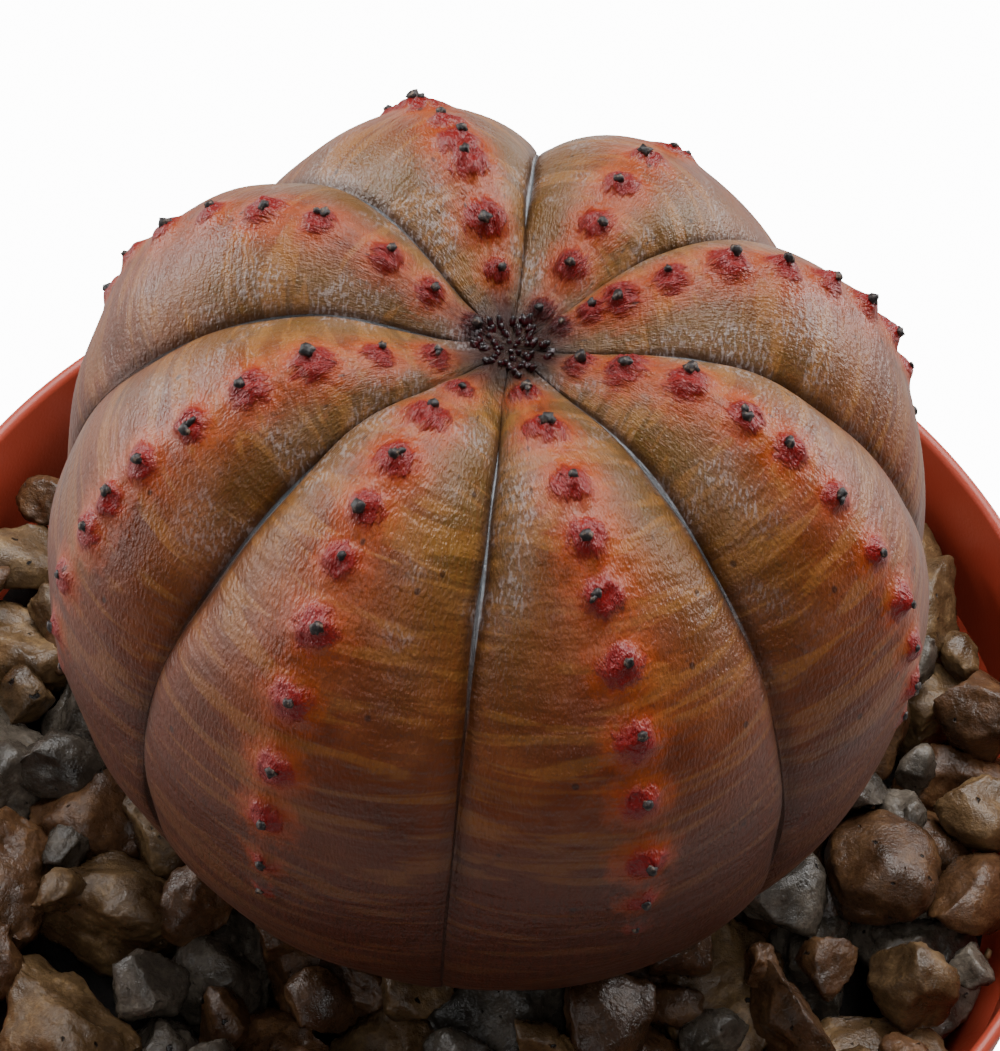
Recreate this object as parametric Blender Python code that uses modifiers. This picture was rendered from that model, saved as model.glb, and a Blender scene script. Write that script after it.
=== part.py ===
"""A round, eight-ribbed succulent in a thin-walled plastic pot, topped with loose gravel.

Run with: blender --background --python part.py
Metres, +Z up. The origin is on the ground, under the centre of the pot.
"""

import math
import random

import bmesh
import bpy
import numpy as np
from mathutils import Matrix, Vector

# ---- Driving dimensions, in metres ----
MM = 0.001
CLEARANCE = 0.3 * MM  # between pieces that touch

# Pot: one thin shell of moulded polypropylene
RIM_RADIUS = 32.5 * MM
POT_HEIGHT = 56.0 * MM
FOOT_RADIUS = 23.0 * MM
POT_WALL = 0.8 * MM
COLLAR_HEIGHT = 9.0 * MM
COLLAR_TAPER = 0.5 * MM  # how much narrower the collar is at its foot than at the lip
COLLAR_STEP = 1.1 * MM  # how far the wall steps in under the collar
STEP_HEIGHT = 1.0 * MM
FOOT_WIDTH = 1.4 * MM  # of the ring that the pot stands on
FLOOR_LIFT = 2.4 * MM  # underside of the floor above the ground
CENTRE_HOLE_RADIUS = 2.4 * MM
DRAIN_HOLE_RADIUS = 2.3 * MM
DRAIN_CIRCLE_RADIUS = 12.5 * MM
DRAIN_HOLE_COUNT = 6
FOOT_NOTCH_COUNT = 4
FOOT_NOTCH_WIDTH = 5.0 * MM
FOOT_NOTCH_HEIGHT = 1.2 * MM
TURN_STEPS = 64
LIP_STEPS = 3  # straight pieces in the half circle of the lip

# Plant: a ribbed globe on a tap root
BODY_RADIUS = 22.0 * MM  # over the crests of the ribs
BODY_ABOVE_RIM = 15.4 * MM  # the widest place of the globe above the pot's lip
CROWN_RISE = 20.3 * MM  # from the widest place up, before the crown's dimple
BASE_DROP = 24.8 * MM  # from the widest place down
RADIUS_POWER = 1.21  # with 1 and 1 the outline would be an ellipse
HEIGHT_POWER = 0.883
DIMPLE_DEPTH = 6.3 * MM
DIMPLE_RADIUS = 7.6 * MM
RIB_COUNT = 8
RIB_TURN = math.radians(-1.2)  # of the front furrow away from -Y
FURROW_DEPTH = 2.3 * MM
ROOT_NECK_RADIUS = 4.6 * MM
ROOT_TIP_RADIUS = 1.2 * MM
ROOT_LENGTH = 26.0 * MM
BODY_SEGMENTS = 64  # a multiple of twice the rib count, so each furrow and crest has its own line
BODY_RINGS = 40
ROOT_RINGS = 6  # the last rings of the plant, along the root

# Potting mix: fills the pot to a slightly sloping top
MIX_BELOW_RIM = 9.1 * MM  # on the pot's axis
MIX_SLOPE = math.radians(2.6)
MIX_FALL_TOWARDS = math.radians(25.0)  # from +X, the side where the top is lowest
MIX_STEPS = 32

# Gravel: loose stones lying on the mix
STONE_COUNT = 57
STONE_RADII = (2.4 * MM, 3.2 * MM)
STONE_SHAPE = (1.28, 1.0, 0.8)  # half axes as shares of a stone's radius, long to thin
STONE_POINTS = 30
STONE_ROUGHNESS = 0.08  # how far a corner lies in or out, as a share of the radius
SMALLEST_EDGE = 0.35 * MM
SETTLING_STEPS = 400
SEED = 11


# ---- Blender helpers ----
def clear_scene():
    for obj in list(bpy.data.objects):
        bpy.data.objects.remove(obj, do_unlink=True)


def new_collection(name):
    collection = bpy.data.collections.new(name)
    bpy.context.scene.collection.children.link(collection)
    return collection


def add_object(name, mesh, collection, material=None):
    obj = bpy.data.objects.new(name, mesh)
    collection.objects.link(obj)
    if material:
        mesh.materials.append(material)
    return obj


def make_material(name, colour, roughness):
    material = bpy.data.materials.new(name)
    material.use_nodes = True
    shader = material.node_tree.nodes["Principled BSDF"]
    shader.inputs["Base Color"].default_value = (*colour, 1.0)
    shader.inputs["Roughness"].default_value = roughness
    material.diffuse_color = (*colour, 1.0)
    return material


def mesh_from_bmesh(bm, name):
    mesh = bpy.data.meshes.new(name)
    bm.to_mesh(mesh)
    bm.free()
    return mesh


def profile_mesh(name, points, closed):
    """An outline in the XZ plane, for a Screw modifier to turn."""
    mesh = bpy.data.meshes.new(name)
    edges = [(i, i + 1) for i in range(len(points) - 1)]
    if closed:
        edges.append((len(points) - 1, 0))
    mesh.from_pydata([(r, 0.0, z) for r, z in points], edges, [])
    return mesh


def add_screw(obj, steps):
    screw = obj.modifiers.new("Turned", "SCREW")
    screw.steps = steps
    screw.render_steps = steps
    screw.use_merge_vertices = True
    screw.merge_threshold = 0.01 * MM
    screw.use_normal_calculate = True


def cut(obj, name, mesh, cutters):
    """Cuts obj with a hidden helper object made of the mesh."""
    cutter = add_object(name, mesh, cutters)
    cutter.hide_render = True
    cutter.display_type = "WIRE"
    boolean = obj.modifiers.new(name, "BOOLEAN")
    boolean.operation = "DIFFERENCE"
    boolean.object = cutter


# ---- Pot ----
def wall_outer_radius(z):
    """Outer radius of the tapered wall, also carried on up behind the collar."""
    top = RIM_RADIUS - COLLAR_TAPER - COLLAR_STEP
    share = z / (POT_HEIGHT - COLLAR_HEIGHT - STEP_HEIGHT)
    return FOOT_RADIUS + (top - FOOT_RADIUS) * share


def wall_inner_radius(z):
    return wall_outer_radius(z) - POT_WALL


def build_pot(parts, cutters):
    """A turned outline of even thickness: round lip, collar, step, wall, foot ring and raised floor."""
    collar_foot = POT_HEIGHT - COLLAR_HEIGHT
    wall_top = collar_foot - STEP_HEIGHT
    lip_radius = POT_WALL / 2
    lip = []
    for i in range(1, LIP_STEPS):
        angle = math.pi * (1 - i / LIP_STEPS)
        lip_height = POT_HEIGHT + lip_radius * (math.sin(angle) - 1)
        lip.append((RIM_RADIUS - lip_radius + lip_radius * math.cos(angle), lip_height))
    outside = [
        (RIM_RADIUS, POT_HEIGHT - lip_radius),
        (RIM_RADIUS - COLLAR_TAPER, collar_foot),
        (wall_outer_radius(wall_top), wall_top),
        (FOOT_RADIUS, 0.0),
        (FOOT_RADIUS - FOOT_WIDTH, 0.0),
        (FOOT_RADIUS - FOOT_WIDTH, FLOOR_LIFT),
        (CENTRE_HOLE_RADIUS, FLOOR_LIFT),
    ]
    floor = FLOOR_LIFT + POT_WALL
    inside = [
        (CENTRE_HOLE_RADIUS, floor),
        (wall_inner_radius(floor), floor),
        (wall_inner_radius(wall_top), wall_top),
        (RIM_RADIUS - COLLAR_TAPER - POT_WALL, collar_foot),
        (RIM_RADIUS - POT_WALL, POT_HEIGHT - lip_radius),
    ]
    outline = profile_mesh("pot", outside + inside + lip, closed=True)
    plastic = make_material("terracotta_polypropylene", (0.52, 0.13, 0.07), 0.45)
    pot = add_object("pot", outline, parts, plastic)
    add_screw(pot, TURN_STEPS)

    holes = bmesh.new()
    for i in range(DRAIN_HOLE_COUNT):
        turn = Matrix.Rotation(2 * math.pi * (i + 0.5) / DRAIN_HOLE_COUNT, 4, "Z")
        bmesh.ops.create_cone(
            holes,
            cap_ends=True,
            segments=16,
            radius1=DRAIN_HOLE_RADIUS,
            radius2=DRAIN_HOLE_RADIUS,
            depth=6 * POT_WALL,
            matrix=turn @ Matrix.Translation((DRAIN_CIRCLE_RADIUS, 0, floor)),
        )
    cut(pot, "drain_holes", mesh_from_bmesh(holes, "drain_holes"), cutters)

    notches = bmesh.new()
    for i in range(FOOT_NOTCH_COUNT):
        turn = Matrix.Rotation(2 * math.pi * (i + 0.5) / FOOT_NOTCH_COUNT, 4, "Z")
        size = Matrix.Diagonal((4 * FOOT_WIDTH, FOOT_NOTCH_WIDTH, 2 * FOOT_NOTCH_HEIGHT, 1))
        place = Matrix.Translation((FOOT_RADIUS - FOOT_WIDTH / 2, 0, 0))
        bmesh.ops.create_cube(notches, size=1.0, matrix=turn @ place @ size)
    cut(pot, "foot_notches", mesh_from_bmesh(notches, "foot_notches"), cutters)


# ---- Plant ----
def body_middle():
    return POT_HEIGHT + BODY_ABOVE_RIM


def neck_angle():
    """Polar angle where the globe has narrowed to the neck of the root."""
    return math.pi - math.asin((ROOT_NECK_RADIUS / BODY_RADIUS) ** (1 / RADIUS_POWER))


def crest_outline(angle):
    """Radius and height of a rib's crest, at a polar angle from the growing point."""
    radius = BODY_RADIUS * math.sin(angle) ** RADIUS_POWER
    across = math.cos(angle)
    if across < 0:
        return radius, body_middle() - BASE_DROP * (-across) ** HEIGHT_POWER
    dimple = DIMPLE_DEPTH * math.exp(-((radius / DIMPLE_RADIUS) ** 2))
    return radius, body_middle() + CROWN_RISE * across**HEIGHT_POWER - dimple


def furrow_share(angle):
    """How deep the furrows are along the globe: 1 on the shoulder and 0 at the poles."""
    return math.sin(math.pi * math.sqrt(angle / math.pi)) ** 4


def across_rib(azimuth):
    """0 on a crest and 1 in a furrow."""
    turns = (azimuth + math.pi / 2 - RIB_TURN) * RIB_COUNT / (2 * math.pi)
    return abs(2 * (turns % 1.0) - 1.0)


def skin_point(angle, azimuth):
    """A point of the globe: furrows are pressed in square to the crest's outline."""
    radius, height = crest_outline(angle)
    next_radius, next_height = crest_outline(angle + 0.001)
    slope = math.atan2(next_height - height, next_radius - radius)
    depth = FURROW_DEPTH * furrow_share(angle) * across_rib(azimuth) ** 2
    return radius + depth * math.sin(slope), height - depth * math.cos(slope)


def root_point(share):
    """A point of the root, from 0 at its neck to 1 at its tip."""
    radius = ROOT_NECK_RADIUS + (ROOT_TIP_RADIUS - ROOT_NECK_RADIUS) * share
    return radius, crest_outline(neck_angle())[1] - ROOT_LENGTH * share


def build_plant(parts):
    """A UV sphere whose rings are moved out to the ribbed skin and then down the root."""
    bm = bmesh.new()
    turn = Matrix.Rotation(RIB_TURN, 4, "Z")
    bmesh.ops.create_uvsphere(
        bm, u_segments=BODY_SEGMENTS, v_segments=BODY_RINGS, radius=1.0, matrix=turn
    )
    body_rings = BODY_RINGS - ROOT_RINGS
    for vertex in bm.verts:
        ring = round(math.acos(max(-1.0, min(1.0, vertex.co.z))) / math.pi * BODY_RINGS)
        azimuth = math.atan2(vertex.co.y, vertex.co.x)
        if ring == 0:
            radius, height = 0.0, crest_outline(0.0)[1]
        elif ring < body_rings:
            radius, height = skin_point(ring / body_rings * neck_angle(), azimuth)
        else:
            radius, height = root_point((ring - body_rings) / ROOT_RINGS)
        if ring == BODY_RINGS:
            radius = 0.0
        vertex.co = (radius * math.cos(azimuth), radius * math.sin(azimuth), height)
    mesh = mesh_from_bmesh(bm, "plant")
    mesh.shade_smooth()
    add_object("plant", mesh, parts, make_material("succulent_skin", (0.27, 0.11, 0.05), 0.4))


# ---- Potting mix ----
def mix_top():
    """The middle of the mix's sloping top."""
    return Vector((0, 0, POT_HEIGHT - MIX_BELOW_RIM))


def mix_top_normal():
    """The upward unit normal of the mix's sloping top."""
    slope = Matrix.Rotation(MIX_SLOPE, 3, "Y")
    return Matrix.Rotation(MIX_FALL_TOWARDS, 3, "Z") @ slope @ Vector((0, 0, 1))


def build_mix(parts, cutters):
    """A turned plug that fits the pot and holds the root, with its top cut at a slope."""
    floor = FLOOR_LIFT + POT_WALL + CLEARANCE
    brim = mix_top().z + RIM_RADIUS * math.tan(MIX_SLOPE)  # all of the sloping top is under this
    side_gap = CLEARANCE / math.cos(math.atan2(RIM_RADIUS - FOOT_RADIUS, POT_HEIGHT))
    root_top = root_point(0.0)[1]
    root_end = root_point(1.0)[1]
    root_taper = (ROOT_NECK_RADIUS - ROOT_TIP_RADIUS) / (root_top - root_end)

    def pit_radius(z):
        return ROOT_TIP_RADIUS + CLEARANCE + (z - root_end) * root_taper

    outline = [
        (0.0, root_end - CLEARANCE),
        (pit_radius(root_end), root_end - CLEARANCE),
        (pit_radius(brim), brim),
        (wall_inner_radius(brim) - side_gap, brim),
        (wall_inner_radius(floor) - side_gap, floor),
        (0.0, floor),
    ]
    earth = make_material("potting_mix", (0.05, 0.035, 0.025), 0.95)
    mix = add_object("potting_mix", profile_mesh("mix", outline, closed=False), parts, earth)
    add_screw(mix, MIX_STEPS)
    size = 3 * RIM_RADIUS
    tilt = mix_top_normal().to_track_quat("Z", "Y").to_matrix().to_4x4()
    above = Matrix.Translation(mix_top()) @ tilt @ Matrix.Translation((0, 0, size / 2))
    block = bmesh.new()
    bmesh.ops.create_cube(block, size=size, matrix=above)
    cut(mix, "sloping_top", mesh_from_bmesh(block, "sloping_top"), cutters)


# ---- Gravel ----
def lower_outline():
    """Points down the crest's outline, from the widest place to the root."""
    start, end, steps = math.pi / 2, neck_angle(), 60
    return [crest_outline(start + (end - start) * i / steps) for i in range(steps + 1)]


def nearest_on_plant(centre, outline):
    """The nearest point of the plant's outline, in the upright plane through a stone's centre."""
    reach = math.hypot(centre.x, centre.y)
    radius, height = min(outline, key=lambda p: (p[0] - reach) ** 2 + (p[1] - centre.z) ** 2)
    return Vector((centre.x / reach * radius, centre.y / reach * radius, height))


def settled_centres(radii):
    """Spreads the stones over the mix, then pushes them apart until they lie still."""
    top = mix_top()
    normal = mix_top_normal()
    outline = lower_outline()
    inner = crest_outline(neck_angle())[0] + 2 * max(radii)
    outer = wall_inner_radius(top.z) - max(radii)
    golden = math.pi * (3 - math.sqrt(5))
    centres = []
    for i in range(len(radii)):
        reach = math.sqrt(inner**2 + (i + 0.5) / len(radii) * (outer**2 - inner**2))
        centres.append(Vector((reach * math.cos(i * golden), reach * math.sin(i * golden), top.z)))
    widths = np.array(radii)
    for _ in range(SETTLING_STEPS):
        places = np.array(centres)
        apart = places[:, None] - places[None]
        gaps = np.linalg.norm(apart, axis=2) + np.eye(len(radii))
        overlap = np.clip(1.12 * (widths[:, None] + widths[None]) - gaps, 0, None)
        np.fill_diagonal(overlap, 0)
        pushed = places + 0.4 * (apart / gaps[:, :, None] * overlap[:, :, None]).sum(axis=1)
        for i, radius in enumerate(radii):
            centre = Vector(pushed[i])
            skin = nearest_on_plant(centre, outline)
            if (centre - skin).length < radius or centre.xy.length < skin.xy.length:
                centre.xy *= 1 + 0.2 * radius / centre.xy.length
            wall = wall_inner_radius(centre.z) - CLEARANCE - 0.95 * radius
            if centre.xy.length > wall:
                centre.xy *= wall / centre.xy.length
            rise = STONE_SHAPE[2] * radius - (centre - top).dot(normal)
            centres[i] = centre + normal * rise
    return centres


def lump_corners(chance, centre, radius):
    """Corners of an uneven, rounded lump that lies nearly flat."""
    spin = Matrix.Rotation(chance.uniform(0, math.pi), 3, "Z")
    lean = Matrix.Rotation(chance.gauss(0, 0.25), 3, "X")
    golden = math.pi * (3 - math.sqrt(5))
    corners = []
    for i in range(STONE_POINTS):
        height = 1 - 2 * (i + 0.5) / STONE_POINTS
        ring = math.sqrt(1 - height**2)
        turn = i * golden + chance.uniform(-0.25, 0.25)
        ball = Vector((ring * math.cos(turn), ring * math.sin(turn), height))
        ball *= radius * (1 + chance.uniform(-STONE_ROUGHNESS, STONE_ROUGHNESS))
        corners.append(centre + spin @ lean @ (ball * Vector(STONE_SHAPE)))
    return corners


def convex_hull(points):
    bm = bmesh.new()
    for point in points:
        bm.verts.new(point)
    bmesh.ops.remove_doubles(bm, verts=bm.verts, dist=SMALLEST_EDGE)
    made = bmesh.ops.convex_hull(bm, input=bm.verts)
    inside = [part for part in made["geom_interior"] if isinstance(part, bmesh.types.BMVert)]
    bmesh.ops.delete(bm, geom=inside, context="VERTS")
    return bm


def cut_flat(points, place, outward):
    """The corners of what is left of a convex lump on the inner side of a plane."""
    if all((point - place).dot(outward) < 0 for point in points):
        return points
    bm = convex_hull(points)
    geometry = bm.verts[:] + bm.edges[:] + bm.faces[:]
    bmesh.ops.bisect_plane(bm, geom=geometry, plane_co=place, plane_no=outward, clear_outer=True)
    left = [vertex.co.copy() for vertex in bm.verts]
    bm.free()
    return left


def build_gravel(parts):
    """Lumps, each worn flat where it meets its neighbours, the mix, the pot and the plant."""
    chance = random.Random(SEED)
    radii = [chance.uniform(*STONE_RADII) for _ in range(STONE_COUNT)]
    centres = settled_centres(radii)
    outline = lower_outline()
    up = mix_top_normal()
    wall_lean = math.atan2(wall_inner_radius(POT_HEIGHT) - wall_inner_radius(0), POT_HEIGHT)
    rocks = [
        make_material("tan_gravel", (0.30, 0.17, 0.09), 0.6),
        make_material("brown_gravel", (0.20, 0.12, 0.07), 0.6),
        make_material("grey_gravel", (0.16, 0.14, 0.12), 0.6),
    ]
    for i, (centre, radius) in enumerate(zip(centres, radii)):
        points = lump_corners(chance, centre, radius)
        for other, other_radius in zip(centres, radii):
            gap = (other - centre).length
            if 0 < gap < STONE_SHAPE[0] * (radius + other_radius):
                share = (gap**2 + radius**2 - other_radius**2) / (2 * gap)
                towards = (other - centre).normalized()
                points = cut_flat(points, centre + towards * (share - CLEARANCE / 2), towards)
        points = cut_flat(points, mix_top() + up * CLEARANCE, -up)
        skin = nearest_on_plant(centre, outline)
        away = (centre - skin).normalized()
        points = cut_flat(points, skin + away * CLEARANCE, -away)
        out = Vector((centre.x, centre.y, 0)).normalized()
        bulge = (STONE_SHAPE[0] * radius) ** 2 / (2 * RIM_RADIUS)
        wall = out * (wall_inner_radius(centre.z) - CLEARANCE - bulge)
        wall.z = centre.z
        leaning = out * math.cos(wall_lean) - Vector((0, 0, math.sin(wall_lean)))
        points = cut_flat(points, wall, leaning)
        name = f"gravel_stone_{i + 1:02d}"
        add_object(name, mesh_from_bmesh(convex_hull(points), name), parts, rocks[i % len(rocks)])


def main():
    clear_scene()
    parts = new_collection("potted_round_succulent")
    cutters = new_collection("cutters")
    build_pot(parts, cutters)
    build_mix(parts, cutters)
    build_plant(parts)
    build_gravel(parts)


main()
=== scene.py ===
"""Potted round succulent: a ribbed, rust-brown globe in a small plastic nursery pot dressed with gravel.

Sizes are in millimetres unless a line says otherwise; MM turns them into metres.
"""

import math
import random

import bmesh
import bpy
import numpy as np
from mathutils import Matrix, Vector, noise


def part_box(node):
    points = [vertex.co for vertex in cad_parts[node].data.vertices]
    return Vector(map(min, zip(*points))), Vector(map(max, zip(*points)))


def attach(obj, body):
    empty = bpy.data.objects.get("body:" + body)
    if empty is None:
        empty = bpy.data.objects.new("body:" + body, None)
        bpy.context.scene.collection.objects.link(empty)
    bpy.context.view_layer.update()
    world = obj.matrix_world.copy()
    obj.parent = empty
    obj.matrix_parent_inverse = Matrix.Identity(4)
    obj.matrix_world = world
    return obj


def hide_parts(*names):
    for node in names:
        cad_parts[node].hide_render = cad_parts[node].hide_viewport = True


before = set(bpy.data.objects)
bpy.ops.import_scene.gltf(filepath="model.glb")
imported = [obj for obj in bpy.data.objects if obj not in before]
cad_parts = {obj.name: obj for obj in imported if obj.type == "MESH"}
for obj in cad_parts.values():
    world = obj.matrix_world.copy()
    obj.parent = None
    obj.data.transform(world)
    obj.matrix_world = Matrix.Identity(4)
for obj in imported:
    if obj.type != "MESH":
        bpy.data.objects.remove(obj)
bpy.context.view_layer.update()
MM = 0.001


# ---------------------------------------------------------------- camera
# A long lens on a stand, looking down at the plant from the front. It is tipped a little to one side,
# so that the front furrow leans as it does on the bench.
LOOK_DOWN = math.radians(53.7)
TIP = math.radians(5.35)
STAND_OFF = 143.0
AIM_ABOVE_POT_RIM = 15.4
AIM_ASIDE = 0.27
AIM_ABOVE = 0.13

rim_height = round(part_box("pot")[1].z / MM, 0)
aim = Vector((0.0, 0.0, rim_height + AIM_ABOVE_POT_RIM))
level_right = Vector((1.0, 0.0, 0.0))
level_up = Vector((0.0, math.sin(LOOK_DOWN), math.cos(LOOK_DOWN)))
towards_lens = Vector((0.0, -math.cos(LOOK_DOWN), math.sin(LOOK_DOWN)))
view_right = level_right * math.cos(TIP) + level_up * math.sin(TIP)
view_up = level_up * math.cos(TIP) - level_right * math.sin(TIP)
lens_place = aim + towards_lens * STAND_OFF + view_right * AIM_ASIDE + view_up * AIM_ABOVE

camera_data = bpy.data.cameras.new("camera")
camera_data.lens = 99.3
camera_data.sensor_width = 36.0
camera_data.clip_start = 0.005
camera_data.clip_end = 20.0
camera = bpy.data.objects.new("camera", camera_data)
camera.matrix_world = Matrix.Translation(lens_place * MM) @ (
    Matrix((view_right, view_up, towards_lens)).transposed().to_4x4()
)
bpy.context.scene.collection.objects.link(camera)
bpy.context.scene.camera = camera


# ---------------------------------------------------------------- plant skin
# The body of the plant is one swollen stem with eight ribs round a sunken growing point. Its skin is a tough
# waxy hide, brown from strong sun, with pale growth bands across the ribs and a row of low warts down each
# crest, where leaves once stood. The root goes down into the potting mix in one piece with it.
BODY_RADIUS = 22.0
CROWN_RISE = 20.3
BASE_DROP = 24.8
RADIUS_POWER = 1.21
HEIGHT_POWER = 0.883
DIMPLE_DEPTH = 6.3
DIMPLE_RADIUS = 7.6
RIB_TURN = math.radians(-1.2)
FURROW_DEPTH = 2.3
SEAM_DEPTH = 0.14
NECK_RADIUS = 4.6
ROOT_TIP_RADIUS = 1.2
ROOT_LENGTH = 26.0
RIB_COLUMNS = 44
RING_GAP = 0.235
BURIED_FROM = 56.5

# Each rib: the way its crest faces, how far the whole crest is turned aside and how much more it leans near
# the growing point (degrees), how far it swells past its neighbours, and how far along the crest each wart
# lies from the growing point.
RIBS = (
    ("right_front", -22.5, 0.5, 0.0, -0.1, (3.6, 6, 9, 12, 14.5, 17.5, 21, 24, 27, 30, 33)),
    ("right_back", 22.5, 0.0, 9.0, -0.45, (2.5, 4, 5.5, 8, 11, 14, 17, 20, 23, 26.5, 30, 33)),
    ("back_right", 67.5, 0.0, -8.0, -0.9, (2.5, 5, 7.5, 10.5, 14, 18.5, 22, 25.5, 29, 32)),
    ("back_left", 112.5, 0.0, -10.0, -0.2, (4, 6.5, 9.5, 11, 13, 16.5, 19.5, 23, 26.5, 29.5, 32.5)),
    ("left_back", 157.5, 0.0, 0.0, 0.1, (2, 4.5, 7, 10.5, 13.5, 17, 20.5, 24, 27.5, 30.5, 33)),
    ("left_front", 202.5, 3.5, 5.0, 0.0, (4, 7, 10, 13, 16, 19, 21.5, 23.5, 27, 31, 34)),
    ("front_left", 247.5, 0.0, -9.0, 0.0, (4.5, 7.5, 10.5, 13, 15.5, 18.5, 22, 25.5, 28.5, 32, 34.5)),
    ("front_right", 292.5, 0.5, -12.0, 0.0, (3.5, 7, 10.5, 13, 15.5, 18.5, 22, 25, 28.5, 31.5, 34.5)),
)
LEAN_FADE = 9.0


def crest_outline(angle):
    """Radius of a crest, and its height above the middle of the body, at an angle from straight up."""
    upright = np.cos(angle)
    radius = BODY_RADIUS * np.sin(angle) ** RADIUS_POWER
    rise = CROWN_RISE * np.abs(upright) ** HEIGHT_POWER
    dimple = DIMPLE_DEPTH * np.exp(-((radius / DIMPLE_RADIUS) ** 2))
    drop = -BASE_DROP * np.abs(upright) ** HEIGHT_POWER
    return radius, np.where(upright > 0, rise - dimple, drop)


neck_angle = math.pi - math.asin((NECK_RADIUS / BODY_RADIUS) ** (1 / RADIUS_POWER))
fine_angle = np.linspace(1e-4, neck_angle, 6000)
fine_radius, fine_height = crest_outline(fine_angle)
fine_along = np.concatenate([[0.0], np.cumsum(np.hypot(np.diff(fine_radius), np.diff(fine_height)))])
body_middle = rim_height + AIM_ABOVE_POT_RIM


def on_crest(along):
    """Radius, height, outward direction (radial, upward) and angle, at a distance along the crest."""
    radius = np.interp(along, fine_along, fine_radius)
    height = np.interp(along, fine_along, fine_height)
    radial_way = -np.interp(along, fine_along, np.gradient(fine_height, fine_along))
    upward_way = np.interp(along, fine_along, np.gradient(fine_radius, fine_along))
    length = np.hypot(radial_way, upward_way)
    angle = np.interp(along, fine_along, fine_angle)
    return radius, height, radial_way / length, upward_way / length, angle


def skin_points(along, across, facing, turn, lean):
    """Points of the skin, in millimetres. across runs from -1 in one furrow, over 0 on the crest, to 1."""
    radius, height, radial_way, upward_way, angle = on_crest(along)
    away = np.abs(across)
    swell = np.sin(math.pi * np.sqrt(angle / math.pi)) ** 4
    pressed = FURROW_DEPTH * swell * (0.86 * away**2 + 0.14 * away**7)
    seam = SEAM_DEPTH * np.exp(-(((1 - away) / 0.035) ** 2)) * np.clip(along / 3, 0, 1)
    pressed = pressed + seam * np.clip(1.25 - along / 48, 0, 1)
    leaning = np.radians(turn + lean * np.exp(-along / LEAN_FADE)) * (1 - away**2)
    spread = facing + np.degrees(leaning) + across * 180 / len(RIBS)
    swelling = np.interp(spread, [rib[1] for rib in RIBS], [rib[4] for rib in RIBS], period=360)
    pressed = pressed - swelling * np.clip(along / 9, 0, 1) * np.clip((50 - along) / 16, 0, 1)
    azimuth = np.radians(spread) + RIB_TURN
    radius = np.maximum(radius - pressed * radial_way, 0.0)
    height = height - pressed * upward_way
    return np.stack([radius * np.cos(azimuth), radius * np.sin(azimuth), height + body_middle], -1)


def named_piece(name, points, faces, material, smooth=True):
    """A mesh object made from points in millimetres."""
    mesh = bpy.data.meshes.new(name)
    mesh.from_pydata((np.asarray(points) * MM).tolist(), [], faces)
    mesh.materials.append(material)
    mesh.shade_smooth() if smooth else mesh.shade_flat()
    piece = bpy.data.objects.new(name, mesh)
    bpy.context.scene.collection.objects.link(piece)
    return piece


def mark(piece, name, values):
    """Keeps one number for each point of a mesh, for its material to read."""
    layer = piece.data.attributes.new(name, "FLOAT", "POINT")
    layer.data.foreach_set("value", np.asarray(values, np.float32).ravel())


def paint(hexcode):
    """An sRGB hex colour as linear RGBA."""
    parts = [int(hexcode[i : i + 2], 16) / 255 for i in (1, 3, 5)]
    return [p / 12.92 if p <= 0.04045 else ((p + 0.055) / 1.055) ** 2.4 for p in parts] + [1.0]


def add(tree, kind, inputs=(), stops=(), **settings):
    """Adds a node with its settings. An input is a value, another node (its first output) or an output."""
    node = tree.nodes.new("ShaderNode" + kind)
    for name, value in settings.items():
        setattr(node, name, value)
    for place, (position, colour) in enumerate(stops):
        ramp = node.color_ramp.elements
        stop = ramp[place] if place < len(ramp) else ramp.new(position)
        stop.position = position
        stop.color = paint(colour) if isinstance(colour, str) else [colour] * 3 + [1.0]
    for socket, value in dict(inputs).items():
        if isinstance(value, bpy.types.Node):
            value = value.outputs[0]
        if isinstance(value, bpy.types.NodeSocket):
            tree.links.new(value, node.inputs[socket])
        else:
            node.inputs[socket].default_value = value
    return node


def new_material(name):
    """An empty material, and its node tree with only the output in it."""
    material = bpy.data.materials.new(name)
    material.use_nodes = True
    tree = material.node_tree
    tree.nodes.clear()
    add(tree, "OutputMaterial")
    return material, tree


# Succulent hide: living skin with a thin waxy bloom. The wax gives small wet-looking glints where the light
# comes back, and a pinkish velvet where it is seen edge on.
succulent_hide, tree = new_material("succulent_hide")
place = add(tree, "Attribute", attribute_name="rib_place").outputs["Vector"]
along = add(tree, "Attribute", attribute_name="along").outputs["Fac"]
away = add(tree, "Attribute", attribute_name="away").outputs["Fac"]
wart = add(tree, "Attribute", attribute_name="wart").outputs["Fac"]
halo = add(tree, "Attribute", attribute_name="halo").outputs["Fac"]

# Blotches about 4 mm across, of rust and darker brown.
blotch_place = add(tree, "VectorMath", {0: place, 1: (0.25, 0.25, 0.25)}, operation="MULTIPLY")
blotches = add(tree, "TexNoise", {"Vector": blotch_place, "Scale": 1.0, "Detail": 3.0, "Roughness": 0.6})
rust = add(tree, "ValToRGB", {0: blotches}, stops=((0.3, "#682909"), (0.5, "#863b12"), (0.72, "#a85726")))

# The upper flanks keep some green under the brown.
green_low = add(tree, "MapRange", {0: along, 1: 30.0, 2: 10.0}, interpolation_type="SMOOTHSTEP")
green_flank = add(tree, "MapRange", {0: away, 1: 0.12, 2: 0.75}, interpolation_type="SMOOTHSTEP")
green_share = add(tree, "Math", {0: green_low, 1: green_flank}, operation="MULTIPLY")
green_share = add(tree, "Math", {0: green_share, 1: 0.85}, operation="MULTIPLY")
greened = add(tree, "MixRGB", {0: green_share, 1: rust, 2: paint("#625026")})

# The lower half is painted a darker purplish brown: painted shade of the underside, which faces away from the
# light.
low_shade_share = add(tree, "MapRange", {0: along, 1: 12.0, 2: 38.0}, interpolation_type="SMOOTHSTEP")
low_shaded = add(tree, "MixRGB", {0: low_shade_share, 1: greened, 2: paint("#381404")})

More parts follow.
